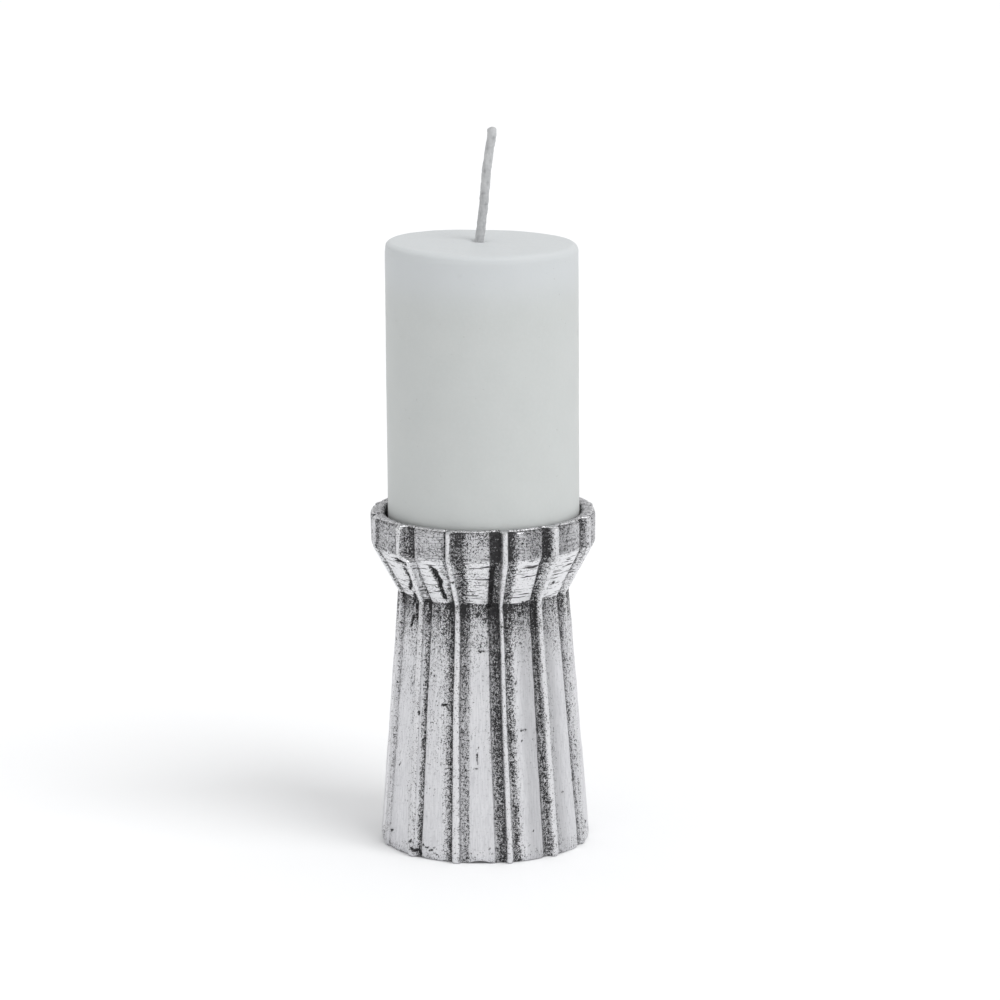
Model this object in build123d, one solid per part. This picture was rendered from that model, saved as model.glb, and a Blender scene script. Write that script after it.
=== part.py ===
"""A cast aluminium pillar candle holder with its candle, in millimetres, +Z up.

The holder is one hollow casting: a conical shaft that narrows upwards to a neck, a
collar that flares out of the neck, and a plain band at the top. Twelve thin ribs and
twelve flat panels run up all three, with grooves between them. A round cup in the top
holds a pillar candle, and a felt disc is glued over the open underside. The candle
holds its braided wick and, at its foot, the pressed tab that the wick is crimped in.

The origin is on the holder's axis, on the surface that it stands on.
"""

import os
from math import cos, radians, sin

from build123d import *

# The candle
CANDLE_D = 70.0
CANDLE_H = 110.0
CANDLE_TOP_ROUND = 3.2
CANDLE_FOOT_ROUND = 1.0

# The holder
RIM_Z = 123.9
CUP_DEPTH = 12.2
CUP_CLEARANCE = 0.8
CANDLE_X = 0.3
BAND_H = 11.5
NECK_Z = 94.5
BASE_R = 39.3
NECK_R = 31.9
COLLAR_R = 42.1
RIM_BEVEL = 0.5
FOOT_BEVEL = 1.0
FOOT_BEVEL_H = 2.2

# The pleats: angles in degrees, radii as a share of the ribs' radius
UNITS = 12
FIRST_RIB = 12.5
RIB_HALF = 1.8
LEFT_GROOVE = 4.3
RIGHT_GROOVE = 4.9
WALL_DRAFT = 0.7
PANEL_SHARE = 0.935
GROOVE_SHARE = 0.905

# The hollow under the cup
CUP_FLOOR_T = 5.0
HOLLOW_FOOT_R = 30.0
HOLLOW_TOP_R = 24.0
HOLLOW_ROUND = 5.0

# The felt
FELT_R = 33.6
FELT_T = 0.6

# The wick and its tab
WICK_R = 1.7
WICK_X = -0.6
WICK_OUT = 42.1
WICK_LEAN = 4.8
WICK_BEND_R = 40.0
WICK_FOOT_UP = 2.5
TAB_UP = 0.3
TAB_R = 8.0
TAB_T = 0.4
TAB_NECK_R = 2.4
TAB_NECK_H = 7.0

CUP_FLOOR_Z = RIM_Z - CUP_DEPTH
CUP_R = CANDLE_D / 2 + CUP_CLEARANCE
CANDLE_TOP_Z = CUP_FLOOR_Z + CANDLE_H
PITCH = 360 / UNITS
FROM_BELOW = (Align.CENTER, Align.CENTER, Align.MIN)


def on_plan(angle, radius):
    """A point of the plan, its angle measured from the front (-Y) towards +X."""
    return (radius * sin(radians(angle)), -radius * cos(radians(angle)))


def pleat_outline(rib_radius, z):
    """The pleated outline, as a flat face at one height."""
    groove = rib_radius * GROOVE_SHARE
    panel = rib_radius * PANEL_SHARE
    panel_start = RIB_HALF + LEFT_GROOVE
    panel_end = PITCH - RIB_HALF - RIGHT_GROOVE
    unit = [
        (-RIB_HALF - WALL_DRAFT, groove),
        (-RIB_HALF, rib_radius),
        (RIB_HALF, rib_radius),
        (RIB_HALF + WALL_DRAFT, groove),
        (panel_start - WALL_DRAFT, groove),
        (panel_start, panel),
        (panel_end, panel),
        (panel_end + WALL_DRAFT, groove),
    ]
    points = [
        on_plan(FIRST_RIB + n * PITCH + angle, radius)
        for n in range(UNITS)
        for angle, radius in unit
    ]
    return Pos(0, 0, z) * make_face(Polyline(*points, close=True))


def holder_casting():
    """The hollow pleated casting, with the candle's cup in its top."""
    levels = [
        (BASE_R - FOOT_BEVEL, FELT_T),
        (BASE_R, FELT_T + FOOT_BEVEL_H),
        (NECK_R, NECK_Z),
        (COLLAR_R, RIM_Z - BAND_H),
        (COLLAR_R, RIM_Z - RIM_BEVEL),
        (COLLAR_R - RIM_BEVEL, RIM_Z),
    ]
    outside = loft([pleat_outline(radius, z) for radius, z in levels], ruled=True)
    cup = Pos(0, 0, CUP_FLOOR_Z) * Cylinder(CUP_R, CUP_DEPTH, align=FROM_BELOW)
    hollow_h = CUP_FLOOR_Z - CUP_FLOOR_T - FELT_T
    hollow = Cone(HOLLOW_FOOT_R, HOLLOW_TOP_R, hollow_h, align=FROM_BELOW)
    hollow = fillet(hollow.edges().group_by(Axis.Z)[-1], HOLLOW_ROUND)
    return outside - cup - Pos(0, 0, FELT_T) * hollow


def base_felt():
    """The felt disc glued under the casting, over its open underside."""
    return Cylinder(FELT_R, FELT_T, align=FROM_BELOW)


def wick():
    """The braided wick, upright in the wax and leaning a little where it stands out."""
    start = Plane((WICK_X, 0, CUP_FLOOR_Z + WICK_FOOT_UP))
    path = FilletPolyline(
        start.origin,
        (WICK_X, 0, CANDLE_TOP_Z),
        (WICK_X + 0.55 * WICK_LEAN, 0, CANDLE_TOP_Z + 0.5 * WICK_OUT),
        (WICK_X + WICK_LEAN, 0, CANDLE_TOP_Z + WICK_OUT),
        radius=WICK_BEND_R,
    )
    return sweep(start * Circle(WICK_R), path=path)


def wick_tab():
    """The pressed tab at the candle's foot, with the neck that is crimped on the wick."""
    disc = Cylinder(TAB_R, TAB_T, align=FROM_BELOW)
    neck = Cylinder(TAB_NECK_R, TAB_NECK_H, align=FROM_BELOW)
    bore = Cylinder(WICK_R, TAB_NECK_H, align=FROM_BELOW)
    tab = Pos(0, 0, TAB_UP) * (disc + neck) - Pos(0, 0, WICK_FOOT_UP) * bore
    return Pos(WICK_X, 0, CUP_FLOOR_Z) * tab


def candle_wax(braid, tab):
    """The wax pillar, cast around its wick, with the tab pressed into its foot."""
    pillar = Cylinder(CANDLE_D / 2, CANDLE_H, align=FROM_BELOW)
    pillar = fillet(pillar.edges().group_by(Axis.Z)[-1], CANDLE_TOP_ROUND)
    pillar = fillet(pillar.edges().group_by(Axis.Z)[0], CANDLE_FOOT_ROUND)
    under_tab = Pos(WICK_X, 0, CUP_FLOOR_Z) * Cylinder(TAB_R, TAB_UP, align=FROM_BELOW)
    return Pos(CANDLE_X, 0, CUP_FLOOR_Z) * pillar - under_tab - braid - tab


def main():
    os.makedirs("parts", exist_ok=True)
    braid = wick()
    tab = wick_tab()
    pieces = {
        "holder_casting": holder_casting(),
        "base_felt": base_felt(),
        "candle_wax": candle_wax(braid, tab),
        "wick": braid,
        "wick_tab": tab,
    }
    for name, shape in pieces.items():
        export_step(shape, f"parts/{name}.step")


main()
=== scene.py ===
"""The looks of the pleated candle holder: its casting, felt, candle, wick and wick tab."""

import math

import bmesh
import bpy
import numpy as np
from mathutils import Matrix, Vector, noise


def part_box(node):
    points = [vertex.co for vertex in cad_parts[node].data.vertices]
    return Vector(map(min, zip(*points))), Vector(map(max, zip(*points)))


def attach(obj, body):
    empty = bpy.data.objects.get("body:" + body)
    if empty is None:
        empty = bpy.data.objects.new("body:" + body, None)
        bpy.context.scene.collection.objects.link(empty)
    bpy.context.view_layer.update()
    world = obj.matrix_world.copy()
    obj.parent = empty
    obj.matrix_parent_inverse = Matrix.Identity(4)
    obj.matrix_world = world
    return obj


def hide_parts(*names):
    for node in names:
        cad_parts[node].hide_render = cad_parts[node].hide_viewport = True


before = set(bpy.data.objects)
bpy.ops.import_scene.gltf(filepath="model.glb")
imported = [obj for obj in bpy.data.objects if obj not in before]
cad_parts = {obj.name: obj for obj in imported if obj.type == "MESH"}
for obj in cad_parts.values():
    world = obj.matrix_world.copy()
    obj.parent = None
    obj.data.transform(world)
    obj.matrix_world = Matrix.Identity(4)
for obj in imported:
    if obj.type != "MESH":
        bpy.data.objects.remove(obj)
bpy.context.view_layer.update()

MM = 0.001

# Places and sizes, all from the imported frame
HOLDER_LOW, HOLDER_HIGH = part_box("holder_casting")
FELT_LOW, FELT_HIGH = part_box("base_felt")
WAX_LOW, WAX_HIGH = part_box("candle_wax")
WICK_LOW, WICK_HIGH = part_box("wick")
TAB_LOW, TAB_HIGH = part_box("wick_tab")
FOOT_Z = HOLDER_LOW.z
RIM_Z = HOLDER_HIGH.z
HOLDER_R = (HOLDER_HIGH.x - HOLDER_LOW.x) / 2
CANDLE_R = (WAX_HIGH.x - WAX_LOW.x) / 2
CUP_FLOOR_Z = WAX_LOW.z
CUP_CLEARANCE = 0.8 * MM
CUP_R = CANDLE_R + CUP_CLEARANCE
WICK_R = (WICK_HIGH.y - WICK_LOW.y) / 2
WICK_X = (TAB_LOW.x + TAB_HIGH.x) / 2
CANDLE_X = (WAX_LOW.x + WAX_HIGH.x) / 2
TAB_R = (TAB_HIGH.x - TAB_LOW.x) / 2
FELT_ACROSS = FELT_HIGH.x - FELT_LOW.x

# The casting's silhouette, as its ribs' radius at each height
NECK_Z = RIM_Z - 29.4 * MM
BAND_Z = RIM_Z - 11.6 * MM
SILHOUETTE = (
    (FOOT_Z, 0.923 * HOLDER_R),
    (FOOT_Z + 1.5 * MM, 0.935 * HOLDER_R),
    (NECK_Z, 0.7615 * HOLDER_R),
    (BAND_Z, 0.996 * HOLDER_R),
    (RIM_Z, 0.998 * HOLDER_R),
)
CREASE_SOFTNESS = 0.5 * MM

# The ribs' angles in degrees from the front (-Y) towards +X, at the band, the top of the
# flare, the neck and the foot, and half their widths at the band, the neck and the foot
RIBS = (
    ((-75.5, -75.5, -74.5, -73.0), (3.0, 3.0, 3.0)),
    ((-48.8, -42.8, -46.4, -45.9), (1.3, 2.0, 2.3)),
    ((-18.0, -17.4, -17.5, -16.7), (1.2, 1.7, 2.1)),
    ((11.7, 11.9, 12.0, 14.0), (1.3, 1.15, 1.45)),
    ((40.8, 40.8, 41.4, 42.9), (1.6, 1.5, 1.8)),
    ((71.7, 71.5, 71.7, 72.7), (2.2, 2.0, 2.2)),
    ((102.0, 101.6, 101.8, 102.6), (2.0, 1.6, 2.0)),
    ((131.8, 131.6, 132.3, 133.2), (1.6, 1.5, 1.9)),
    ((161.9, 162.0, 161.5, 161.1), (1.7, 1.4, 1.7)),
    ((192.3, 192.1, 192.7, 193.9), (1.6, 1.3, 1.6)),
    ((222.3, 222.0, 221.5, 221.8), (1.5, 1.6, 1.8)),
    ((253.0, 253.2, 252.7, 252.0), (1.8, 1.5, 1.9)),
)

# What lies between two ribs, from left to right. Each edge has its place (0 at one rib
# and 1 at the next) and its depth under the ribs in mm, both at the band, the neck and
# the foot, its darkness at the band, the flare, the neck and the foot, and how much of
# an even grey lies over it. A place may have a fourth value, at the top of the flare.
SLANTED = (
    ((0.015, 0.015, 0.020), (1.0, 2.3, 1.6), (0.40, 0.30, 0.35, 0.10), 0.15),
    ((0.090, 0.080, 0.050), (2.2, 2.7, 2.0), (0.62, 0.58, 0.42, 0.18), 0.55),
    ((0.180, 0.150, 0.110), (3.0, 2.6, 1.8), (0.60, 0.58, 0.32, 0.32), 0.45),
    ((0.250, 0.225, 0.185), (2.9, 2.2, 1.7), (0.40, 0.40, 0.18, 0.32), 0.25),
    ((0.300, 0.270, 0.215), (2.7, 1.9, 1.45), (0.20, 0.12, 0.06, 0.03), 0.00),
    ((0.500, 0.480, 0.500), (2.6, 1.8, 1.4), (0.16, 0.05, 0.04, 0.01), 0.00),
    ((0.750, 0.700, 0.730), (2.7, 2.0, 1.5), (0.20, 0.10, 0.10, 0.02), 0.12),
    ((0.785, 0.740, 0.765), (3.9, 3.0, 2.2), (0.62, 0.80, 0.30, 0.15), 0.45),
    ((0.870, 0.850, 0.870), (4.0, 3.1, 2.4), (0.92, 0.72, 0.58, 0.46), 0.60),
    ((0.965, 0.975, 0.975), (3.9, 3.0, 2.2), (0.92, 0.42, 0.58, 0.55), 0.40),
)
CREASED = (
    ((0.020, 0.020, 0.020), (3.2, 2.3, 1.6), (0.72, 0.55, 0.38, 0.08), 0.30),
    ((0.100, 0.090, 0.100), (3.1, 2.4, 1.8), (0.74, 0.58, 0.58, 0.48), 0.35),
    ((0.185, 0.185, 0.190), (2.9, 2.2, 1.6), (0.42, 0.45, 0.44, 0.34), 0.10),
    ((0.260, 0.260, 0.250), (2.7, 2.0, 1.5), (0.24, 0.10, 0.10, 0.08), 0.00),
    ((0.400, 0.370, 0.360), (2.6, 1.9, 1.4), (0.20, 0.03, 0.02, 0.01), 0.02),
    ((0.480, 0.460, 0.450), (2.6, 1.9, 1.4), (0.20, 0.04, 0.03, 0.01), 0.48),
    ((0.795, 0.760, 0.805, 0.765), (2.7, 2.0, 1.5), (0.28, 0.06, 0.06, 0.02), 0.42),
    ((0.820, 0.785, 0.830, 0.790), (3.8, 3.0, 2.3), (0.70, 0.72, 0.60, 0.22), 0.35),
    ((0.880, 0.860, 0.890, 0.870), (3.9, 3.1, 2.4), (0.78, 0.60, 0.46, 0.40), 0.50),
    ((0.955, 0.940, 0.965, 0.965), (3.7, 2.9, 2.2), (0.70, 0.28, 0.66, 0.40), 0.30),
)
OPEN = (
    ((0.030, 0.010, 0.015, 0.020), (2.6, 1.6, 1.0), (0.35, 0.06, 0.02, 0.02), 0.05),
    ((0.110, 0.025, 0.075, 0.080), (3.1, 2.5, 1.9), (0.48, 0.30, 0.18, 0.38), 0.15),
    ((0.190, 0.045, 0.140, 0.130), (3.3, 2.7, 2.1), (0.66, 0.48, 0.50, 0.52), 0.35),
    ((0.250, 0.060, 0.200, 0.170), (3.4, 2.6, 2.0), (0.80, 0.55, 0.62, 0.60), 0.45),
    ((0.272, 0.085, 0.220, 0.190), (2.7, 2.0, 1.5), (0.12, 0.06, 0.08, 0.04), 0.10),
    ((0.650, 0.620, 0.620, 0.700), (2.6, 1.9, 1.4), (0.10, 0.04, 0.08, 0.02), 0.00),
    ((0.880, 0.800, 0.780, 0.800), (2.7, 2.4, 1.6), (0.10, 0.10, 0.24, 0.10), 0.00),
    ((0.930, 0.880, 0.870, 0.880), (2.8, 2.7, 2.1), (0.25, 0.25, 0.52, 0.26), 0.25),
    ((0.975, 0.975, 0.975, 0.980), (3.8, 3.0, 2.3), (0.70, 0.40, 0.74, 0.58), 0.55),
)
PLAIN = (
    ((0.015, 0.015, 0.015), (2.9, 2.1, 1.5), (0.42, 0.35, 0.44, 0.50), 0.35),
    ((0.055, 0.055, 0.050), (2.9, 2.1, 1.6), (0.34, 0.28, 0.44, 0.42), 0.50),
    ((0.100, 0.100, 0.095), (2.7, 2.0, 1.5), (0.20, 0.10, 0.12, 0.08), 0.60),
    ((0.300, 0.280, 0.240), (2.3, 1.7, 1.3), (0.18, 0.05, 0.04, 0.01), 0.48),
    ((0.500, 0.500, 0.480), (2.0, 1.4, 1.0), (0.10, 0.02, 0.02, 0.01), 0.06),
    ((0.730, 0.690, 0.735), (1.6, 1.0, 0.7), (0.06, 0.02, 0.02, 0.01), 0.00),
    ((0.760, 0.720, 0.765), (2.6, 2.0, 1.6), (0.66, 0.68, 0.66, 0.52), 0.45),
    ((0.900, 0.870, 0.880), (2.6, 2.0, 1.6), (0.52, 0.38, 0.36, 0.34), 0.30),
    ((0.975, 0.980, 0.980), (2.0, 1.5, 1.1), (0.22, 0.10, 0.10, 0.08), 0.10),
)
LEANING = (
    ((0.020, 0.020, 0.020), (0.9, 1.2, 0.7), (0.40, 0.35, 0.20, 0.10), 0.15),
    ((0.100, 0.140, 0.100), (1.0, 1.3, 0.8), (0.52, 0.50, 0.32, 0.18), 0.20),
    ((0.130, 0.170, 0.130), (1.2, 1.2, 0.8), (0.18, 0.08, 0.08, 0.04), 0.05),
    ((0.550, 0.600, 0.600), (1.6, 1.6, 1.0), (0.14, 0.03, 0.06, 0.02), 0.00),
    ((0.860, 0.900, 0.930), (2.2, 1.9, 1.4), (0.30, 0.12, 0.12, 0.04), 0.10),
    ((0.965, 0.975, 0.980), (2.8, 2.4, 1.7), (0.75, 0.45, 0.52, 0.10), 0.20),
)
SHALLOW = (
    ((0.030, 0.030, 0.030), (1.2, 1.6, 1.3), (0.50, 0.35, 0.40, 0.30), 0.20),
    ((0.110, 0.120, 0.110), (1.2, 1.6, 1.3), (0.45, 0.25, 0.36, 0.26), 0.20),
    ((0.140, 0.150, 0.140), (0.4, 0.4, 0.4), (0.12, 0.06, 0.08, 0.04), 0.00),
    ((0.500, 0.500, 0.500), (0.2, 0.2, 0.2), (0.10, 0.03, 0.05, 0.02), 0.00),
    ((0.820, 0.800, 0.810), (0.4, 0.4, 0.4), (0.12, 0.06, 0.08, 0.04), 0.05),
    ((0.850, 0.830, 0.840), (1.5, 2.2, 1.8), (0.60, 0.40, 0.50, 0.40), 0.30),
    ((0.970, 0.970, 0.970), (1.5, 2.2, 1.8), (0.55, 0.30, 0.45, 0.32), 0.25),
)
UNITS = (
    LEANING, OPEN, SLANTED, CREASED, PLAIN, SHALLOW,
    SHALLOW, SLANTED, CREASED, OPEN, SHALLOW, SHALLOW,
)

# A rib's crown and sides: its rounding in mm, darkness and grey
RIB_ROUNDING = 0.16
RIB_GREY = 0.26
# How much of a rib's crown escapes the dirt and the painted shade that lie on the panels
RIB_SHELTER = 0.75

# The grid of the casting's skin
COLUMN_STEP = 0.70 * MM
ROW_STEP_AT_CREASE = 0.42
ROW_STEP_ADDED = 0.36
CREASE_REACH = 6 * MM

# The rim is higher at the rear, and the foot's outer edge hangs below its inner one
REAR_RISE = 0.8 * MM
FOOT_SKIRT = 0.48 * MM

# The hollow under the cup
CEILING_Z = CUP_FLOOR_Z - 5 * MM
HOLLOW_FOOT_R = 30 * MM
HOLLOW_TOP_R = 24 * MM
HOLLOW_ROUND = 3 * MM


def soft_noise(points, size, seed=0.0):
    """Smooth noise from -1 to 1 at each point, with features of about the size given."""
    shift = Vector((seed, 0.37 * seed, -seed))
    return np.array([noise.noise(Vector(p) / size + shift) for p in points])


def smoothstep(low, high, values):
    t = np.clip((values - low) / (high - low), 0, 1)
    return t * t * (3 - 2 * t)


def along_z(z, values):
    """Values read at the heights z, given from the band down to the foot."""
    if len(values) == 3:
        return np.interp(z, (FOOT_Z, NECK_Z, BAND_Z), values[::-1])
    band, flare, neck, foot = values
    edges = (FOOT_Z, NECK_Z, NECK_Z + 8 * MM, BAND_Z - 1.0 * MM, BAND_Z + 0.6 * MM)
    return np.interp(z, edges, (foot, neck, flare, flare, band))


def place_at(z, places):
    """A place round the holder at the heights z; the flare's top has its own if given."""
    if len(places) == 3:
        return along_z(z, places)
    edges = (FOOT_Z, NECK_Z, BAND_Z - 1.5 * MM, BAND_Z + 1.0 * MM)
    return np.interp(z, edges, places[::-1])


class Skin:
    """A closed surface made of rings of points, each ring joined to the one before."""

    def __init__(self):
        self.points = []
        self.faces = []
        self.last = []

    def ring(self, points):
        start = len(self.points)
        self.points.extend(tuple(p) for p in points)
        new = list(range(start, len(self.points)))
        if self.last:
            self.join(self.last, new)
        self.last = new

    def join(self, a, b):
        """Joins two rings that are equal, or of which one has four times the points."""
        if len(b) > len(a):
            first = len(self.faces)
            self.join(b, a)
            self.faces[first:] = [face[::-1] for face in self.faces[first:]]
            return
        n, m = len(a), len(b)
        for i in range(m):
            k = (i + 1) % m
            if n == m:
                self.faces.append((a[i], a[k], b[k], b[i]))
                continue
            g = [a[(4 * i + j) % n] for j in range(5)]
            self.faces += [(g[0], g[1], b[i]), (g[1], g[2], b[i]), (b[i], g[2], b[k])]
            self.faces += [(g[2], g[3], b[k]), (g[3], g[4], b[k])]

    def cap(self, point):
        """Closes the last ring to one point."""
        self.points.append(tuple(point))
        tip = len(self.points) - 1
        n = len(self.last)
        self.faces += [(self.last[i], self.last[(i + 1) % n], tip) for i in range(n)]

    def start_from(self, point, ring):
        """Opens the surface with a fan from one point to its first ring."""
        self.points.append(tuple(point))
        self.ring(ring)
        n = len(self.last)
        self.faces += [(0, self.last[(i + 1) % n], self.last[i]) for i in range(n)]


def mesh_piece(name, points, faces, masks=None):
    """A smooth-shaded mesh object, with its outward faces and its vertex masks."""
    mesh = bpy.data.meshes.new(name)
    mesh.from_pydata([tuple(p) for p in points], [], faces)
    body = bmesh.new()
    body.from_mesh(mesh)
    bmesh.ops.recalc_face_normals(body, faces=body.faces)
    body.to_mesh(mesh)
    body.free()
    mesh.polygons.foreach_set("use_smooth", [True] * len(mesh.polygons))
    for key, values in (masks or {}).items():
        layer = mesh.attributes.new(key, "FLOAT", "POINT")
        layer.data.foreach_set("value", np.asarray(values, np.float32))
    piece = bpy.data.objects.new(name, mesh)
    bpy.context.scene.collection.objects.link(piece)
    return piece


# ---------------------------------------------------------------- the casting

# Marks left by the mould and the file: angle, height over the foot, length, width and
# depth in mm, and slant in degrees from level.
SCARS = (
    (5.4, 101.5, 17.5, 1.5, 1.5, 89),
    (5.6, 108.8, 3.4, 1.7, 1.1, 38),
    (-29.4, 107.8, 4.0, 2.4, 1.7, -48),
    (-28.2, 104.6, 5.4, 2.8, 1.8, -74),
    (-27.4, 99.4, 7.5, 1.7, 1.5, -84),
    (-51.5, 109.0, 5.5, 1.3, 1.1, -22),
    (-50.2, 103.5, 7.0, 1.5, 1.2, -68),
    (-53.8, 99.5, 6.5, 1.4, 1.0, 50),
    (-56.5, 93.5, 6.0, 1.5, 1.1, 62),
    (-53.0, 90.0, 7.5, 1.3, 1.0, -80),
    (-57.5, 85.5, 5.0, 1.2, 0.9, 75),
    (-4.6, 37.6, 6.0, 0.35, 0.35, 90),
    (-4.9, 34.6, 1.9, 0.35, 0.35, 0),
    (-0.6, 34.9, 2.6, 0.30, 0.20, -6),
    (-26.4, 57.3, 2.3, 0.75, 0.60, 4),
    (-34.8, 67.3, 3.4, 0.35, 0.25, -28),
    (-1.6, 60.6, 2.6, 0.30, 0.20, 6),
    (-1.8, 77.2, 2.4, 0.40, 0.25, 0),
    (-5.4, 103.3, 2.3, 0.50, 0.45, -3),
    (-18.0, 103.6, 1.9, 0.45, 0.35, -8),
    (21.2, 65.2, 1.2, 0.60, 0.40, 12),
    (25.6, 47.8, 2.8, 0.35, 0.30, 3),
    (50.0, 100.6, 1.8, 0.60, 0.45, -40),
    (52.6, 22.2, 2.2, 0.35, 0.25, 35),
    (53.2, 22.0, 2.0, 0.35, 0.25, -50),
    (-42.6, 2.0, 5.2, 1.4, 1.3, -18),
    (-45.6, 5.2, 1.8, 0.9, 0.7, 60),
    (-34.5, 3.8, 5.0, 0.40, 0.30, -14),
    (-29.0, 2.0, 3.0, 0.35, 0.25, -24),
    (2.4, 5.0, 0.9, 0.55, 0.35, 0),
    (0.6, 10.6, 0.8, 0.45, 0.30, 0),
    (40.2, 19.5, 1.6, 0.80, 0.60, 20),
    (7.8, 17.0, 1.5, 0.90, 0.60, 0),
    (-66.5, 6.0, 2.6, 0.90, 0.80, 10),
)
RANDOM_SCARS = 70
RANDOM_SCARS_SEED = 41
FRONT_HALF_ANGLE = 60


def scars():
    """The listed marks, and small random ones that are smaller at the front."""
    rng = np.random.default_rng(RANDOM_SCARS_SEED)
    found = list(SCARS)
    height = (RIM_Z - FOOT_Z) / MM
    for _ in range(RANDOM_SCARS):
        angle, up = rng.uniform(-180, 180), rng.uniform(2, height - 3)
        length, width = rng.uniform(0.5, 2.6), rng.uniform(0.3, 0.7)
        slant = rng.normal(0, 35)
        if abs(angle) < FRONT_HALF_ANGLE:
            length, width = 0.6 * length, 0.8 * width
        found.append((angle, up, length, width, 0.6 * width, slant))
    return found


# How dirt and painted shade cover the metal: the painted shade's fall below the neck, the
# looks-bare darkness that still counts as clean, and the power that turns darkness into a share
# of specks
SHADE_REACH = 7.5 * MM
BARE_DARKNESS = 0.035
COVER_POWER = 1.75


def speckle_level(share):
    """The mask that makes the metal's speckle cover about the share given."""
    share = np.clip(share, 0.001, 0.975)
    spread = 4.91 * (share**0.14 - (1 - share) ** 0.14)
    return 0.5 + 0.15 * spread


def row_heights():
    """The heights of the casting's rows, closer together at its creases."""
    creases = (FOOT_Z + 1.0 * MM, NECK_Z, BAND_Z, RIM_Z)
    heights = [FOOT_Z]
    while heights[-1] < RIM_Z - 1.2 * MM:
        near = min(abs(heights[-1] - c) for c in creases)
        step = ROW_STEP_AT_CREASE + ROW_STEP_ADDED * min(near / CREASE_REACH, 1)
        heights.append(heights[-1] + step * MM)
    return np.array(heights)


def rib_radius(z):
    """The silhouette, with its creases rounded a little."""
    fine = np.arange(FOOT_Z - 5 * MM, RIM_Z + 5 * MM, 0.1 * MM)
    sharp = np.interp(fine, *zip(*SILHOUETTE))
    reach = np.arange(-20, 21) * 0.1 * MM
    weight = np.exp(-0.5 * (reach / CREASE_SOFTNESS) ** 2)
    return np.interp(z, fine, np.convolve(sharp, weight / weight.sum(), "same"))


def casting_columns(z):
    """Angle, depth, darkness, grey and rib share of each column, a row per height."""
    angles, depths, darks, greys, ribs = tables = [], [], [], [], []

    def add(*values):
        for rows, value in zip(tables, values):
            rows.append(value + 0 * z)

    def edges_of(n):
        turn = 360 * (n // len(UNITS))
        n = n % len(UNITS)
        places, halves = RIBS[n]
        middle = turn + place_at(z, places)
        half = along_z(z, halves)
        return middle - half, middle + half

    for n, unit in enumerate(UNITS):
        left, right = edges_of(n)
        following, _ = edges_of(n + 1)
        width = math.radians((right - left).max()) * HOLDER_R
        for share in np.linspace(0, 1, max(5, round(width / COLUMN_STEP) + 1)):
            across = abs(2 * share - 1)
            crown = RIB_ROUNDING * across**3
            darkness = 0.06 + 0.1 * across**4
            add(left + share * (right - left), crown, darkness, RIB_GREY, 1.0)
        side = ((RIB_ROUNDING,) * 3, (RIB_ROUNDING,) * 4, RIB_GREY)
        marks = [((0, 0, 0), *side), *unit, ((1, 1, 1), *side)]
        for number, (here, there) in enumerate(zip(marks, marks[1:])):
            a, b = (
                (place_at(z, mark[0]), along_z(z, mark[1]), along_z(z, mark[2]))
                for mark in (here, there)
            )
            gap = np.radians((following - right).max() * (b[0] - a[0]).max()) * HOLDER_R
            count = max(2, round(float(gap) / COLUMN_STEP))
            last = number == len(marks) - 2
            for k in range(1, count if last else count + 1):
                even = k / count
                t = 0.55 * even + 0.225 * (1 - math.cos(math.pi * even))
                place = a[0] + t * (b[0] - a[0])
                depth = a[1] + t * (b[1] - a[1])
                dark = a[2] + t * (b[2] - a[2])
                grey = here[3] + t * (there[3] - here[3])
                add(right + place * (following - right), depth, dark, grey, 0.0)
    while len(angles) % 4:
        for rows in tables:
            rows.insert(-1, (rows[-1] + rows[-2]) / 2)
    return [np.array(rows).T for rows in tables]


def round_off(radius, passes):
    """Smooths each row along its columns, which rounds the ribs' and panels' edges."""
    for _ in range(passes):
        radius = (np.roll(radius, 1, 1) + 2 * radius + np.roll(radius, -1, 1)) / 4
    return radius


def on_circle(angle, radius, z):
    """Points of the row frame from angles in degrees, radii and heights."""
    a = np.radians(angle)
    return np.stack([radius * np.sin(a), -radius * np.cos(a), z + 0 * a], -1)


def rim_rise(angle):
    """How far the rim rises towards its rear half, at angles in degrees."""
    return REAR_RISE * smoothstep(72, 112, 180 - np.abs(180 - angle % 360))


def scar_cuts(angle, radius, heights, ragged):
    """How deep in mm the marks are cut at each point, and how dark they are."""
    cut = np.zeros(angle.shape)
    dark = np.zeros(angle.shape)
    for at, up, length, width, deep, slant in scars():
        across = (np.radians((angle - at + 180) % 360 - 180)) * radius / MM
        above = (heights - FOOT_Z) / MM - up
        c, s = math.cos(math.radians(slant)), math.sin(math.radians(slant))
        along, aside = across * c + above * s, above * c - across * s
        beyond = np.maximum(np.abs(along) - (length - width) / 2, 0)
        away = np.hypot(beyond, aside) / (width / 2) + 0.45 * ragged
        inside = np.clip(1 - away**2, 0, 1)
        cut = np.maximum(cut, deep * inside**0.7)
        shown = min(1.0, 0.6 + deep) * smoothstep(0.0, 0.55, 1.25 - away)
        dark = np.maximum(dark, shown)
    return cut, dark


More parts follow.
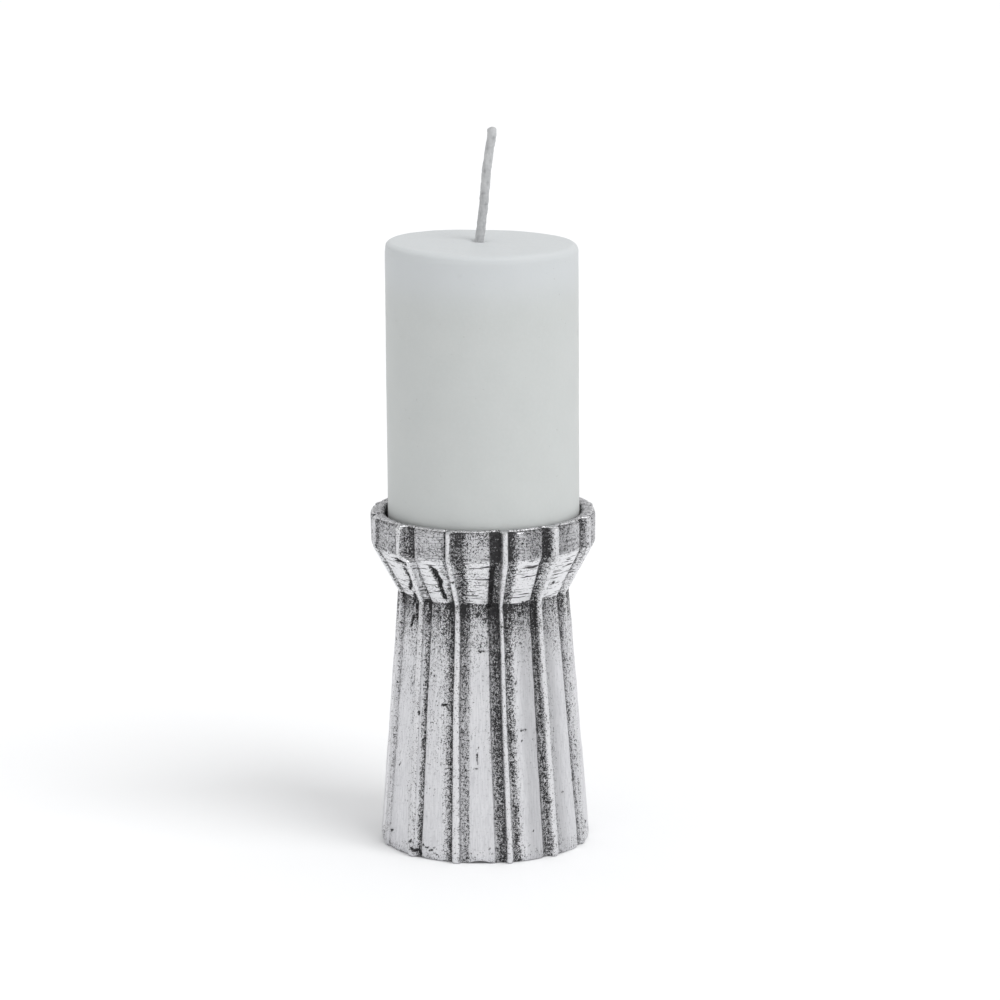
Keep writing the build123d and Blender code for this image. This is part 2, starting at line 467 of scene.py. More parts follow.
def zones(heights, bumps):
    """How far each point is in the shade under the neck, the flare, band, lip and foot."""
    neck = NECK_Z + (0.6 * bumps(5, 24.0) + 0.3 * bumps(1.8, 25.0)) * MM
    below = np.clip(neck + 0.5 * MM - heights, 0, 1)
    shade = (0.66 + 0.25 * bumps(9, 26.0)) * np.exp(-below / SHADE_REACH)
    shade = shade * (heights < neck + 0.6 * MM)
    flare = smoothstep(-0.5 * MM, 0.5 * MM, heights - NECK_Z)
    flare = flare * smoothstep(0.5 * MM, -0.5 * MM, heights - BAND_Z)
    band = smoothstep(-0.3 * MM, 0.9 * MM, heights - BAND_Z)
    lip = smoothstep(2.2 * MM, 0.4 * MM, RIM_Z - heights)
    foot = smoothstep(7 * MM, 0, heights - FOOT_Z)
    return shade, flare, band, lip, foot


def casting_masks(heights, patina, low, grey, rib, dark, stands_out, bumps):
    """The masks that the metal reads: patina with painted shade under the neck, polish, an even
    grey with painted shade over it, and tool marks.
    """
    on_panel = 1 - RIB_SHELTER * rib
    shade, flare, band, lip, foot = zones(heights, bumps)
    patchy = 0.07 * bumps(6, 21.0) + 0.06 * bumps(17, 22.0)
    # Painted shade under the neck, together with darker rings at the band, towards the foot and
    # at the lip
    painted_shade_and_bands = shade * (1 - 0.6 * low) + 0.05 * band + 0.08 * foot + 0.10 * lip
    darkness = patina + patchy * (0.3 + low) * on_panel
    darkness = darkness + painted_shade_and_bands * on_panel
    darkness = darkness + 0.12 * np.clip(-stands_out - 0.15, 0, 0.8) * (1 - 0.6 * flare)
    clear = 1 - np.clip(darkness - BARE_DARKNESS, 0, 0.97)
    share = np.maximum(1 - clear**COVER_POWER, dark)
    # An even grey over the grooves and ribs, with painted shade under the neck and darker grey
    # at the band and lip
    veil_and_painted_shade = round_off(grey, 3) * (1 - 0.6 * flare)
    veil_and_painted_shade = veil_and_painted_shade + (0.45 * shade + 0.30 * band + 0.20 * lip) * on_panel
    polish = np.clip((stands_out - 0.12) / 0.5, 0, 1)
    polish = polish * (1 - 0.5 * dark) * (1 - 0.35 * rib)
    # The patina mask also carries the painted shade under the neck, and the tool marks run into
    # it
    return {
        "patina": speckle_level(share),
        "polish": np.clip(np.maximum(polish, 0.9 * flare * (1 - low)), 0, 1),
        "veil_and_painted_shade": np.clip(np.maximum(veil_and_painted_shade, 0.8 * dark), 0, 1),
        "tooling": np.clip((flare + 0.35 * shade + 0.55 * band) * on_panel, 0, 1),
    }


def uneven_ends(angle, heights, bumps):
    """The heights with the foot's ragged edge, its gap in front and the rim's rise."""
    gap = 0.85 * MM * np.clip(1 - ((angle + 2.8) / 6.2) ** 2, 0, 1) ** 0.8
    uneven = 0.12 * MM * (1 + bumps(5, 8.0)) + gap
    foot = smoothstep(4 * MM, 0, heights - FOOT_Z)
    heights = heights + (uneven - FOOT_SKIRT) * foot
    return heights + rim_rise(angle) * smoothstep(BAND_Z, RIM_Z - 2 * MM, heights)


def casting_outside():
    """The pleated outer skin: its angles, radii, heights and vertex masks."""
    z = row_heights()
    angle, depth, patina, grey, rib = casting_columns(z)
    heights = np.repeat(z[:, None], angle.shape[1], 1)
    radius = rib_radius(heights) - round_off(depth, 2) * MM
    stands_out = round_off(depth, 14) - depth
    flat = on_circle(angle, radius, heights).reshape(-1, 3)

    def bumps(size, seed):
        return soft_noise(flat, size * MM, seed).reshape(heights.shape)

    angle = angle + 0.55 * bumps(34, 1.0)
    ragged = bumps(2.2, 2.0) + 0.5 * bumps(0.9, 3.0)
    cut, dark = scar_cuts(angle, radius, heights, ragged)
    low = smoothstep(0.2, 0.8, round_off(patina, 4))
    rough = 0.10 * bumps(1.5, 4.0) + 0.05 * bumps(0.75, 5.0)
    worn = 0.16 * bumps(11, 6.0) + 0.05 * bumps(3.2, 7.0)
    radius = radius - (cut - worn * (1 - 0.7 * rib) - rough * (0.25 + low)) * MM
    masks = casting_masks(heights, patina, low, grey, rib, dark, stands_out, bumps)
    bevel = 0.35 + 0.45 * smoothstep(-0.2, 0.6, bumps(8, 23.0))
    bevel = bevel * (1 - RIB_SHELTER * rib) + 0.15
    bevel = bevel * (1 - 0.75 * rim_rise(angle) / REAR_RISE)
    edge = smoothstep(1.3 * MM, 0, RIM_Z - 0.5 * MM - z[:, None])
    return angle, radius - bevel * edge * MM, uneven_ends(angle, heights, bumps), masks


# The rim's rounding, as shares of the wall from outside to the cup, and heights in mm
RIM_ROUND = (
    (0.02, -0.75), (0.10, -0.33), (0.28, -0.08), (0.5, 0.0), (0.72, -0.03), (0.92, -0.30),
)


def casting():
    """The whole casting as one closed skin, from its hollow round to its cup."""
    angle, radius, height, masks = casting_outside()
    skin = Skin()
    foot_angle, rim_angle = angle[0][::4], angle[-1][::4]
    middle = (0, 0, CEILING_Z)
    skin.start_from(middle, on_circle(foot_angle, 0.12 * HOLLOW_TOP_R, CEILING_Z))
    for share, drop in ((0.35, 0.0), (0.72, 0.0), (0.93, 0.2), (1.0, 1.0)):
        z = CEILING_Z - drop * HOLLOW_ROUND
        skin.ring(on_circle(foot_angle, share * HOLLOW_TOP_R, z))
    for t in np.linspace(0.1, 1, 12):
        z = CEILING_Z - HOLLOW_ROUND + t * (FOOT_Z - CEILING_Z + HOLLOW_ROUND)
        wall = HOLLOW_TOP_R + t * (HOLLOW_FOOT_R - HOLLOW_TOP_R)
        spot = on_circle(foot_angle, wall, z)
        grain = 0.35 * MM * soft_noise(spot, 7 * MM, 9.0) * (t < 1)
        skin.ring(on_circle(foot_angle, wall + grain, z))
    inner_foot = len(skin.points)
    for share, drop in ((0.43, 0.0), (0.60, FOOT_SKIRT - 0.05 * MM)):
        r = HOLLOW_FOOT_R + share * (radius[0][::4] - HOLLOW_FOOT_R)
        skin.ring(on_circle(foot_angle, r, FOOT_Z - drop))
    lower = len(skin.points)
    for a, r, z in zip(angle, radius, height):
        skin.ring(on_circle(a, r, z))
    upper = len(skin.points)
    a, r = angle[-1], radius[-1]
    nicks = soft_noise(on_circle(a, r, RIM_Z), 2.6 * MM, 10.0)
    for share, up in RIM_ROUND:
        z = RIM_Z + rim_rise(a) + (up - 0.16 * np.abs(nicks) - 0.12) * MM
        skin.ring(on_circle(a, r + share * (CUP_R - r), z))
    skin.ring(on_circle(a, CUP_R + 0 * r, RIM_Z + rim_rise(a) - 0.95 * MM))
    rim_end = len(skin.points)
    skin.ring(on_circle(rim_angle, CUP_R, RIM_Z - 1.6 * MM))
    for t in np.linspace(0.15, 0.93, 7):
        z = RIM_Z + t * (CUP_FLOOR_Z - RIM_Z)
        grain = 0.12 * MM * soft_noise(on_circle(rim_angle, CUP_R, z), 4 * MM, 11.0)
        skin.ring(on_circle(rim_angle, CUP_R + grain, z))
    for share in (0.985, 0.93, 0.75, 0.5, 0.22):
        skin.ring(on_circle(rim_angle, share * CUP_R, CUP_FLOOR_Z))
    skin.cap((0, 0, CUP_FLOOR_Z))

    whole = {key: np.zeros(len(skin.points)) for key in masks}
    whole["patina"][:] = speckle_level(0.72)
    whole["veil_and_painted_shade"][:] = 0.6
    for key, values in masks.items():
        whole[key][lower:upper] = values.ravel()
    edge = smoothstep(0.3, 0.7, round_off(masks["patina"][-1:], 3)[0])
    # The rim's inner side is made darker: patina, with painted shade inside the cup
    for k in range(len(RIM_ROUND) + 1):
        row = slice(upper + k * len(a), upper + (k + 1) * len(a))
        inside = k >= len(RIM_ROUND) - 1
        share = 0.10 + 0.22 * edge + 0.12 * (nicks > 0.1) + 0.5 * inside
        whole["patina"][row] = speckle_level(share)
        whole["veil_and_painted_shade"][row] = 0.35 + 0.4 * inside
        whole["polish"][row] = 1.0 if k < 2 else 0.0
    whole["patina"][inner_foot:lower] = speckle_level(0.4)
    # Patina with painted shade on the cup's wall
    whole["patina"][rim_end:] = speckle_level(0.86)
    return mesh_piece("casting", skin.points, skin.faces, whole)


# ------------------------------------------------------- candle, wick and tab

WICK_LEAN = WICK_HIGH.x - WICK_R - WICK_X
WICK_OUT = WICK_HIGH.z - WAX_HIGH.z
CANDLE_SIDES = 240
CANDLE_FOOT_ROUND = 1.0 * MM
CANDLE_TOP_ROUND = 2.7 * MM
CANDLE_DOME = 0.75 * MM
WICK_SIDES = 56
WICK_STEP = 0.17 * MM
BRAID_PITCH = 24 * MM
STRANDS_EACH_WAY = 3


def wax_profile():
    """Radius and height of the candle's outline, from its underside to its top."""
    recess = TAB_LOW.z - CUP_FLOOR_Z
    under = [(0.3 * TAB_R, recess), (0.97 * TAB_R, recess), (1.01 * TAB_R, 0.0)]
    under += [(r * CANDLE_R, 0.0) for r in (0.4, 0.6, 0.8, 0.92)]
    foot = CANDLE_FOOT_ROUND
    for a in np.radians((0, 30, 60, 90)):
        under.append((CANDLE_R - foot + foot * math.sin(a), foot - foot * math.cos(a)))
    top = WAX_HIGH.z - CUP_FLOOR_Z
    edge = CANDLE_TOP_ROUND
    wall = [(CANDLE_R, z) for z in np.linspace(2 * foot, top - edge - 0.8 * MM, 122)]
    over = []
    for a in np.radians(np.linspace(0, 90, 13)):
        over.append((CANDLE_R - edge + edge * math.cos(a), top - edge + edge * math.sin(a)))
    for share in np.linspace(0.97, 0.09, 26):
        rise = CANDLE_DOME * (1 - share**2) - 0.9 * MM * math.exp(-((share / 0.10) ** 2))
        over.append((share * (CANDLE_R - edge), top + rise))
    over.append((1.1 * WICK_R, top + CANDLE_DOME - 1.0 * MM))
    return under + wall + over


# Nicks in the wax: angle, height over its foot, radius and depth in mm
NICKS = (
    (79, 78, 1.3, 0.5),
    (-14, 103, 0.9, 0.35),
    (2, 66, 0.7, 0.25),
    (-34, 24, 1.0, 0.3),
    (14, 40, 0.8, 0.25),
)


def candle():
    """The wax pillar, very slightly uneven, with small nicks and a dished top."""
    turn = np.linspace(0, 360, CANDLE_SIDES, endpoint=False)
    skin = Skin()
    profile = wax_profile()
    rows = []
    for r, z in profile:
        near_wick = float(smoothstep(0.8 * CANDLE_R, 6 * MM, r))
        middle = CANDLE_X + near_wick * (WICK_X - CANDLE_X)
        rows.append(on_circle(turn, r, CUP_FLOOR_Z + z) + np.array((middle, 0, 0)))
    skin.start_from((WICK_X, 0, CUP_FLOOR_Z + profile[0][1]), rows[0])
    for spot in rows[1:]:
        skin.ring(spot)
    skin.cap((WICK_X, 0, CUP_FLOOR_Z + profile[-1][1]))
    points = np.array(skin.points)
    across = points[:, :2] - (CANDLE_X, 0)
    r = np.hypot(*across.T)
    up = points[:, 2] - CUP_FLOOR_Z
    out = across / np.maximum(r, MM)[:, None]
    side = smoothstep(0.75 * CANDLE_R, CANDLE_R, r) * smoothstep(1 * MM, 4 * MM, up)
    swell = 0.10 * soft_noise(points, 26 * MM, 12.0) + 0.03 * soft_noise(points, 5 * MM, 13.0)
    around = np.degrees(np.arctan2(across[:, 0], -across[:, 1]))
    for at, height, size, deep in NICKS:
        away = np.hypot(np.radians(around - at) * CANDLE_R, up - height * MM) / (size * MM)
        swell = swell - deep * np.clip(1 - away**2, 0, 1)
    points[:, :2] += out * (side * swell * MM)[:, None]
    top = smoothstep(0, 0.6 * MM, up - (WAX_HIGH.z - CUP_FLOOR_Z - 2 * MM))
    ripple = 0.10 * soft_noise(points, 9 * MM, 14.0) + 0.03 * soft_noise(points, 2.5 * MM, 15.0)
    lean = 0.034 * np.maximum(-across[:, 0], 0) - 0.010 * np.maximum(across[:, 0], 0)
    points[:, 2] += top * ((ripple + 0.4) * MM + lean)
    return mesh_piece("candle", points, skin.faces)


def wick_line(z):
    """The wick's middle at a height: upright in the wax, then leaning towards +X."""
    t = max(0.0, (z - WAX_HIGH.z) / WICK_OUT)
    sway = 0.35 * MM * math.sin(2.6 * math.pi * t) * t
    return Vector((WICK_X + WICK_LEAN * (1.12 * t - 0.12 * t * t) + sway, 0.4 * sway, z))


def braided_wick():
    """A round braid, whose surface stands out where a strand lies on top."""
    buried = np.linspace(WICK_LOW.z, WAX_HIGH.z - 3 * MM, 12)
    shown = np.arange(WAX_HIGH.z - 2.8 * MM, WICK_HIGH.z, WICK_STEP)
    heights = np.concatenate([buried, shown])
    skin = Skin()
    turn = np.linspace(0, 2 * math.pi, WICK_SIDES, endpoint=False)
    gap_shade = []
    for z in heights:
        middle = wick_line(z)
        round_it = STRANDS_EACH_WAY * turn / (2 * math.pi)
        climb = STRANDS_EACH_WAY * z / BRAID_PITCH
        left, right = round_it + climb, round_it - climb
        weave = 3 * np.sin(math.pi * (left + right)) * np.sin(math.pi * (left - right))
        over = 0.5 + 0.5 * np.tanh(weave)
        strand_a = np.abs(np.sin(math.pi * left)) ** 0.7
        strand_b = np.abs(np.sin(math.pi * right)) ** 0.7
        height = np.maximum(strand_a * (0.45 + 0.55 * over), strand_b * (1.0 - 0.55 * over))
        end = math.sqrt(max(0.0, 1 - max(0.0, 1 - (WICK_HIGH.z - z) / (1.1 * MM)) ** 2))
        thick = WICK_R * (0.86 + 0.16 * height) * max(end, 0.25)
        ring = np.stack([np.cos(turn) * thick, np.sin(turn) * thick, 0 * turn], -1)
        ring = ring + np.array(middle)
        fuzz = 0.05 * soft_noise(ring, 0.8 * MM, 16.0) + 0.06 * soft_noise(ring, 3 * MM, 17.0)
        ring[:, :2] += (ring[:, :2] - np.array(middle)[:2]) * fuzz[:, None] * 1.2
        if not skin.last:
            skin.start_from((middle.x, middle.y, z), ring)
        else:
            skin.ring(ring)
        # Painted shade in the gaps between the strands, darkest where the braid lies lowest
        gap_shade.append(1 - height)
    skin.cap(wick_line(WICK_HIGH.z - 0.05 * MM))
    gap_shades = np.concatenate([[0.5], np.concatenate(gap_shade), [0.2]])
    return mesh_piece("braided_wick", skin.points, skin.faces, {"gap": gap_shades})


def pressed_tab():
    """The tin tab: a stamped disc with a raised ring and a neck crimped on the wick."""
    base = TAB_LOW.z
    thick = 0.4 * MM
    neck = 2.4 * MM
    bore = WICK_R + 0.02 * MM
    top = TAB_HIGH.z
    stamped = (
        (0.25, 0), (0.5, 0), (0.62, 0), (0.70, 0.12), (0.78, 0), (0.95, 0), (0.99, 0.06),
        (1.0, 0.2), (0.99, 0.36), (0.93, 0.4), (0.80, 0.4), (0.70, 0.52), (0.60, 0.4),
        (0.42, 0.4),
    )
    turn = np.linspace(0, 360, 96, endpoint=False)
    skin = Skin()
    skin.start_from((0, 0, base), on_circle(turn, 0.1 * TAB_R, base))
    for share, up in stamped:
        skin.ring(on_circle(turn, share * TAB_R, base + up * MM))
    crimps = 0.5 + 0.5 * np.cos(np.radians(3 * turn))
    for t in np.linspace(0, 1, 14):
        pinch = 0.45 * MM * crimps**4 * math.exp(-(((t - 0.62) / 0.2) ** 2))
        flared = 0.25 * MM * math.exp(-t / 0.08)
        z = base + thick + t * (top - base - thick)
        skin.ring(on_circle(turn, neck + flared - pinch, z))
    skin.ring(on_circle(turn, (neck + bore) / 2, top))
    for z in (top - 0.1 * MM, (top + base) / 2, WICK_LOW.z):
        skin.ring(on_circle(turn, bore, z))
    skin.cap((0, 0, WICK_LOW.z))
    points = np.array(skin.points) + np.array((WICK_X, 0, 0))
    return mesh_piece("pressed_tab", points, skin.faces)


def felt_disc():
    """The glued felt, with a hand-cut edge and a soft, slightly uneven nap."""
    turn = np.linspace(0, 360, 256, endpoint=False)
    felt_r = FELT_ACROSS / 2
    thick = FELT_HIGH.z - FELT_LOW.z
    cut = 0.25 * MM * soft_noise(on_circle(turn, felt_r, 0), 9 * MM, 18.0) - 0.2 * MM
    skin = Skin()
    skin.start_from((0, 0, 0.05 * thick), on_circle(turn, 0.02 * felt_r, 0.05 * thick))
    for share in np.linspace(0.08, 0.98, 22):
        spot = on_circle(turn, share * (felt_r + cut), 0)
        nap = 0.06 * thick * (1 + soft_noise(spot, 3.5 * MM, 19.0))
        skin.ring(on_circle(turn, share * (felt_r + cut), nap))
    edge = ((0.997, 0.18), (1.0, 0.5), (0.997, 0.85), (0.98, 1.0))
    for share, up in (*edge, (0.6, 1.0), (0.2, 1.0)):
        skin.ring(on_circle(turn, share * (felt_r + cut), up * thick))
    skin.cap((0, 0, thick))
    return mesh_piece("felt_disc", skin.points, skin.faces)


# ------------------------------------------------------------------ materials

class Shader:
    """A node material on one Principled shader, built a node at a time."""

    def __init__(self, name):
        self.material = bpy.data.materials.new(name)
        self.material.use_nodes = True
        self.nodes = self.material.node_tree.nodes
        self.links = self.material.node_tree.links
        self.shader = self.nodes["Principled BSDF"]
        self.place = self.nodes.new("ShaderNodeTexCoord").outputs["Object"]

    def put(self, name, value):
        """Sets a socket of the shader to a constant, or links it to a node's output."""
        self.plug(value, self.shader.inputs[name])

    def plug(self, value, socket):
        if isinstance(value, bpy.types.NodeSocket):
            self.links.new(value, socket)
        else:
            socket.default_value = value

    def noise(self, size, detail=2.0, stretch=(1, 1, 1), rough=0.5, warp=0.0):
        """Noise from 0 to 1 with features of about size metres, longer where stretched."""
        scale = self.nodes.new("ShaderNodeMapping")
        scale.inputs["Scale"].default_value = [1 / (size * s) for s in stretch]
        self.links.new(self.place, scale.inputs["Vector"])
        texture = self.nodes.new("ShaderNodeTexNoise")
        texture.inputs["Scale"].default_value = 1.0
        texture.inputs["Detail"].default_value = detail
        texture.inputs["Roughness"].default_value = rough
        texture.inputs["Distortion"].default_value = warp
        self.links.new(scale.outputs["Vector"], texture.inputs["Vector"])
        return texture.outputs["Fac"]

    def height(self):
        """The height of a point of the piece."""
        split = self.nodes.new("ShaderNodeSeparateXYZ")
        self.links.new(self.place, split.inputs[0])
        return split.outputs["Z"]

    def mask(self, name):
        attribute = self.nodes.new("ShaderNodeAttribute")
        attribute.attribute_name = name
        return attribute.outputs["Fac"]

    def math(self, operation, a, b=0.0, c=0.0):
        node = self.nodes.new("ShaderNodeMath")
        node.operation = operation
        for value, socket in zip((a, b, c), node.inputs):
            self.plug(value, socket)
        return node.outputs[0]

    def spread(self, value, low, high, to_low=0.0, to_high=1.0):
        """A smooth step of value from low to high, given as to_low to to_high."""
        node = self.nodes.new("ShaderNodeMapRange")
        node.interpolation_type = "SMOOTHSTEP"
        for key, v in (("Value", value), ("From Min", low), ("From Max", high)):
            self.plug(v, node.inputs[key])
        self.plug(to_low, node.inputs["To Min"])
        self.plug(to_high, node.inputs["To Max"])
        return node.outputs["Result"]

    def blend(self, share, a, b):
        """A colour between a and b."""
        node = self.nodes.new("ShaderNodeMix")
        node.data_type = "RGBA"
        self.plug(share, node.inputs[0])
        for value, socket in ((a, node.inputs[6]), (b, node.inputs[7])):
            self.plug((*value, 1) if isinstance(value, tuple) else value, socket)
        return node.outputs[2]

    def bump(self, height, distance, strength=1.0, before=None):
        node = self.nodes.new("ShaderNodeBump")
        node.inputs["Distance"].default_value = distance
        node.inputs["Strength"].default_value = strength
        self.links.new(height, node.inputs["Height"])
        if before is not None:
            self.links.new(before, node.inputs["Normal"])
        return node.outputs["Normal"]


def cast_metal():
    """Rubbed aluminium with a black patina left in its hollows, speckled at the edges, and
    painted shade under the neck.
    """
    s = Shader("cast_metal")
    patina = s.mask("patina")
    veil_and_painted_shade = s.mask("veil_and_painted_shade")
    polish = s.mask("polish")
    tooling = s.mask("tooling")
    fine = s.noise(0.32 * MM, 2, rough=0.6)
    coarse = s.noise(0.85 * MM, 2, rough=0.5)
    clouds = s.noise(6 * MM, 3)
    streaks = s.noise(0.50 * MM, 3, (1, 1, 24), 0.6)
    lines = s.noise(0.48 * MM, 2, (14, 14, 1), 0.6)
    grain = s.math("MULTIPLY_ADD", coarse, 0.35, s.math("MULTIPLY", fine, 0.65))
    grain = s.math("MULTIPLY_ADD", s.math("SUBTRACT", clouds, 0.5), 0.10, grain)
    grain = s.math("MULTIPLY_ADD", s.math("SUBTRACT", streaks, 0.5), 0.14, grain)
    # The speckle's cover, which also holds the painted shade under the neck
    level = s.math("MULTIPLY_ADD", s.math("SUBTRACT", patina, 0.5), -0.42, 0.5)
    below, above = (s.math(way, level, 0.026) for way in ("SUBTRACT", "ADD"))
    speckle = s.spread(grain, below, above)
    chatter = s.spread(lines, 0.575, 0.612)
    chatter = s.math("MULTIPLY", chatter, s.math("MULTIPLY", tooling, 0.95))
    dirt = s.math("MAXIMUM", speckle, chatter)

    tone = s.blend(s.noise(14 * MM, 2), (0.66, 0.66, 0.685), (0.77, 0.77, 0.785))
    tone = s.blend(s.spread(streaks, 0.35, 0.75, 0.0, 0.45), tone, (0.48, 0.48, 0.50))
    tone = s.blend(s.spread(coarse, 0.54, 0.74, 0.0, 0.35), tone, (0.42, 0.42, 0.44))
    # Darker grey where the grooves' grey and the painted shade under the neck lie
    tone = s.blend(s.math("MULTIPLY", veil_and_painted_shade, 0.72), tone, (0.25, 0.25, 0.26))
    tone = s.blend(s.math("MULTIPLY", polish, 0.8), tone, (0.86, 0.86, 0.875))
    black = s.blend(s.noise(1.2 * MM, 2), (0.006, 0.006, 0.007), (0.065, 0.064, 0.066))
    s.put("Base Color", s.blend(dirt, tone, black))
    s.put("Metallic", s.spread(dirt, 0.0, 1.0, 0.92, 0.20))
    s.put("Specular IOR Level", s.spread(dirt, 0.0, 1.0, 0.5, 0.12))
    gloss = s.spread(streaks, 0.3, 0.7, 0.36, 0.48)
    s.put("Roughness", s.blend(dirt, gloss, (0.62, 0.62, 0.62)))
    normal = s.bump(s.noise(0.5 * MM, 3, rough=0.65), 0.10 * MM, 0.6)
    normal = s.bump(s.noise(2.6 * MM, 2), 0.30 * MM, 0.4, normal)
    normal = s.bump(streaks, 0.05 * MM, 0.4, normal)
    normal = s.bump(s.math("MULTIPLY", lines, tooling), 0.22 * MM, 0.6, normal)
    normal = s.bump(s.math("SUBTRACT", 1.0, dirt), 0.07 * MM, 0.8, normal)
    s.put("Normal", normal)
    return s.material


def wax_material():
    """Cool grey-white pressed wax, with a faint mottle, pinholes, a satin skin and painted
    light towards its top.
    """
    s = Shader("wax")
    mottle = s.noise(12 * MM, 4)
    frost = s.noise(1.1 * MM, 3)
    holes = s.spread(s.noise(1.4 * MM, 1), 0.76, 0.80)
    tone = s.blend(mottle, (0.500, 0.520, 0.513), (0.540, 0.558, 0.550))
    tone = s.blend(s.spread(frost, 0.35, 0.8, 0.0, 0.18), tone, (0.60, 0.612, 0.610))
    # Painted light: the wax is lighter and cooler towards the candle's top
    painted_top_light = s.spread(s.height(), WAX_HIGH.z - 23 * MM, WAX_HIGH.z - 6 * MM, 0.0, 0.62)
    tone = s.blend(painted_top_light, tone, (0.570, 0.592, 0.612))
    tone = s.blend(s.math("MULTIPLY", holes, 0.35), tone, (0.40, 0.41, 0.41))
    s.put("Base Color", tone)
    s.put("Roughness", s.spread(frost, 0.3, 0.7, 0.50, 0.62))
    s.put("Subsurface Weight", 0.25)
    s.put("Subsurface Radius", (1.0, 0.95, 0.9))
    s.put("Subsurface Scale", 2.2 * MM)
    s.put("Specular IOR Level", 0.35)
    normal = s.bump(frost, 0.05 * MM, 0.35)
    normal = s.bump(mottle, 0.4 * MM, 0.25, normal)
    normal = s.bump(s.math("SUBTRACT", 1.0, holes), 0.15 * MM, 0.5, normal)
    s.put("Normal", normal)
    return s.material


def cotton_material():
    """Grey waxed cotton: pale fibres on the strands and painted shade in the gaps between them.
    """
    s = Shader("wick_cotton")
    gap = s.mask("gap")
    fibre = s.noise(0.22 * MM, 3, (1, 1, 16), 0.6)
    tone = s.blend(fibre, (0.27, 0.275, 0.28), (0.57, 0.575, 0.585))
    # Painted shade in the braid's gaps
    tone = s.blend(s.spread(gap, 0.2, 0.9, 0.0, 0.42), tone, (0.15, 0.155, 0.16))
    faded = s.spread(s.noise(3 * MM, 2), 0.4, 0.7, 0.0, 0.35)
    tone = s.blend(faded, tone, (0.62, 0.63, 0.635))
    s.put("Base Color", tone)
    s.put("Roughness", s.spread(fibre, 0.2, 0.8, 0.55, 0.85))
    s.put("Sheen Weight", 0.25)
    s.put("Normal", s.bump(fibre, 0.06 * MM, 0.6))
    return s.material


def felt_material():
    """Black wool felt with matted fibres."""
    s = Shader("felt")
    mat = s.noise(0.35 * MM, 4, (2.2, 1, 1), 0.7, 1.5)
    lint = s.spread(s.noise(0.9 * MM, 3, (1, 4, 1), 0.6, 2.0), 0.62, 0.70)
    tone = s.blend(mat, (0.018, 0.018, 0.020), (0.060, 0.060, 0.066))
    s.put("Base Color", s.blend(s.math("MULTIPLY", lint, 0.35), tone, (0.20, 0.20, 0.21)))
    s.put("Roughness", s.spread(mat, 0.2, 0.8, 0.85, 0.98))
    s.put("Sheen Weight", 0.4)
    s.put("Normal", s.bump(mat, 0.15 * MM, 0.9))
    return s.material


def tin_material():
    """Thin tinplate, drawn and a little stained."""
    s = Shader("tinplate")
    drawn = s.noise(0.3 * MM, 2, (1, 7, 1), 0.6)
    stain = s.spread(s.noise(2.4 * MM, 3), 0.5, 0.75)
    tone = s.blend(drawn, (0.58, 0.57, 0.55), (0.72, 0.71, 0.69))
    s.put("Base Color", s.blend(s.math("MULTIPLY", stain, 0.5), tone, (0.36, 0.34, 0.32)))
    s.put("Metallic", 0.95)
    s.put("Roughness", s.spread(drawn, 0.2, 0.8, 0.26, 0.42))
    s.put("Normal", s.bump(drawn, 0.03 * MM, 0.4))
    return s.material


def floor_material():
    """Pale, matt paper."""
    s = Shader("paper_floor")
    tone = s.blend(s.noise(60 * MM, 2), (0.905, 0.91, 0.918), (0.92, 0.925, 0.932))
    s.put("Base Color", tone)
    s.put("Roughness", 0.8)
    s.put("Specular IOR Level", 0.2)
    return s.material


# ------------------------------------------------------------- the pieces' set-up

PIECES = (
    (casting, "holder", "holder_casting", "cast_metal", cast_metal),
    (felt_disc, "holder", "base_felt", "felt", felt_material),
    (candle, "candle", "candle_wax", "wax", wax_material),
    (braided_wick, "candle", "wick", "wick_cotton", cotton_material),
    (pressed_tab, "candle", "wick_tab", "tinplate", tin_material),
)


def set_up_pieces():
    """Builds each piece, gives it its material and hands it to the frame."""
    for build, body, node, slot, finish in PIECES:
        piece = build()
        material = finish()
        piece.data.materials.append(material)
        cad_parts[node].data.materials.clear()
        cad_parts[node].data.materials.append(material)
        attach(piece, body)
        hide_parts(node)


# ------------------------------------------------------- camera, floor and light

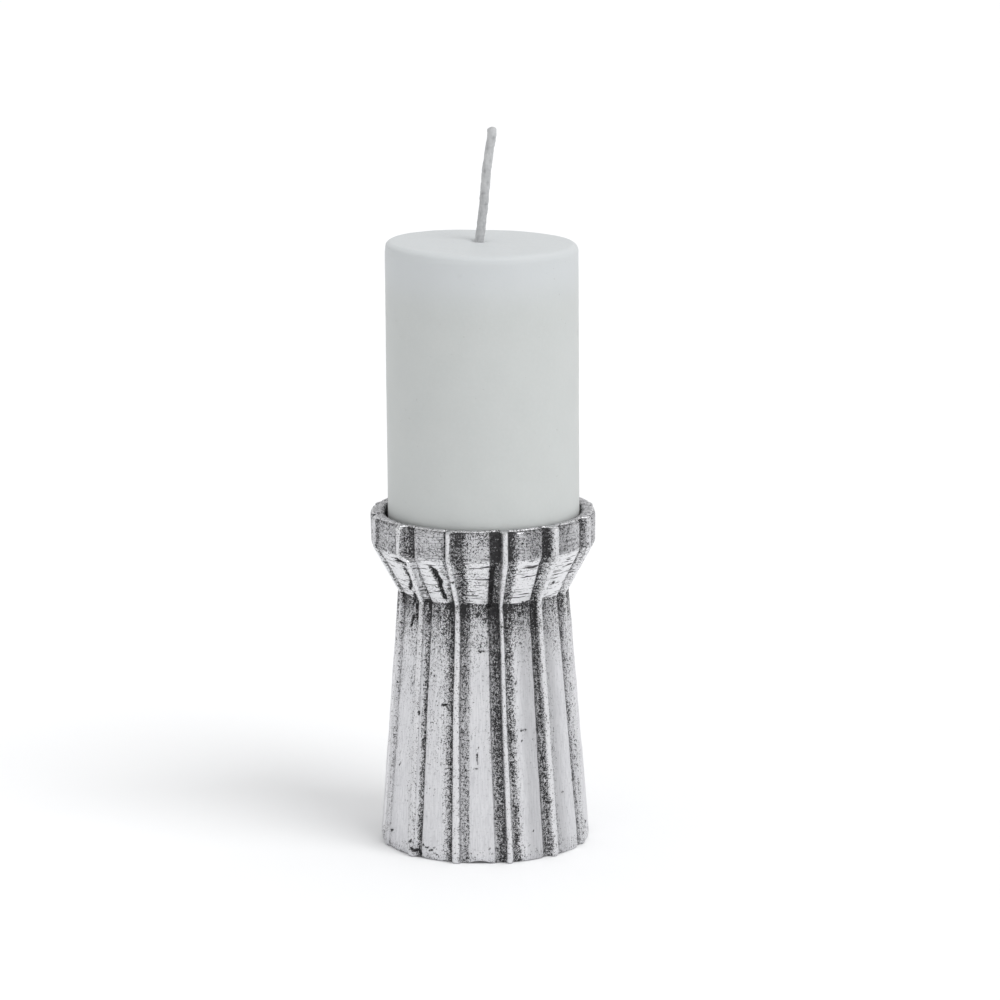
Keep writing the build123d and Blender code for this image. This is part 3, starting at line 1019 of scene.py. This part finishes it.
CAMERA_AWAY = 1.5344
CAMERA_DOWN = math.radians(11.8)
CAMERA_ROLL = math.radians(0.41)
LOOK_AT = Vector((6.3 * MM, 0, FOOT_Z + 126.6 * MM))
LENS_MM = 151.2
SENSOR_MM = 36
FLOOR_REACH = 6.0
SKY_STRENGTH = 0.81
KEY_STRENGTH = 1.35
KEY_SPREAD = math.radians(33)
TOWARDS_KEY = Vector((0.75, -0.66, 1.30))


def set_up_camera():
    """A long lens at the photo's angle, turned a little about its axis."""
    camera = bpy.data.objects.new("camera", bpy.data.cameras.new("camera"))
    camera.data.lens = LENS_MM
    camera.data.sensor_width = SENSOR_MM
    forward = Vector((0, math.cos(CAMERA_DOWN), -math.sin(CAMERA_DOWN)))
    upward = Vector((0, math.sin(CAMERA_DOWN), math.cos(CAMERA_DOWN)))
    rightward = Vector((1, 0, 0))
    c, s = math.cos(CAMERA_ROLL), math.sin(CAMERA_ROLL)
    right = rightward * c - upward * s
    up = upward * c + rightward * s
    turned = Matrix((right, up, -forward)).transposed().to_4x4()
    camera.matrix_world = Matrix.Translation(LOOK_AT - forward * CAMERA_AWAY) @ turned
    bpy.context.scene.collection.objects.link(camera)
    bpy.context.scene.camera = camera


def set_up_floor():
    corners = [
        (x * FLOOR_REACH, y * FLOOR_REACH, 0) for x, y in ((-1, -1), (1, -1), (1, 1), (-1, 1))
    ]
    floor = mesh_piece("floor", corners, [(0, 1, 2, 3)])
    floor.data.materials.append(floor_material())


def set_up_light():
    """A white studio all round, and a wide key light from the front right."""
    scene = bpy.context.scene
    scene.view_settings.view_transform = "Standard"
    world = bpy.data.worlds.new("studio")
    world.use_nodes = True
    background = world.node_tree.nodes["Background"]
    background.inputs["Color"].default_value = (1.0, 1.0, 1.0, 1)
    background.inputs["Strength"].default_value = SKY_STRENGTH
    scene.world = world
    key = bpy.data.objects.new("key", bpy.data.lights.new("key", "SUN"))
    key.data.energy = KEY_STRENGTH
    key.data.angle = KEY_SPREAD
    key.rotation_euler = TOWARDS_KEY.to_track_quat("Z", "Y").to_euler()
    scene.collection.objects.link(key)


set_up_camera()
set_up_pieces()
set_up_floor()
set_up_light()
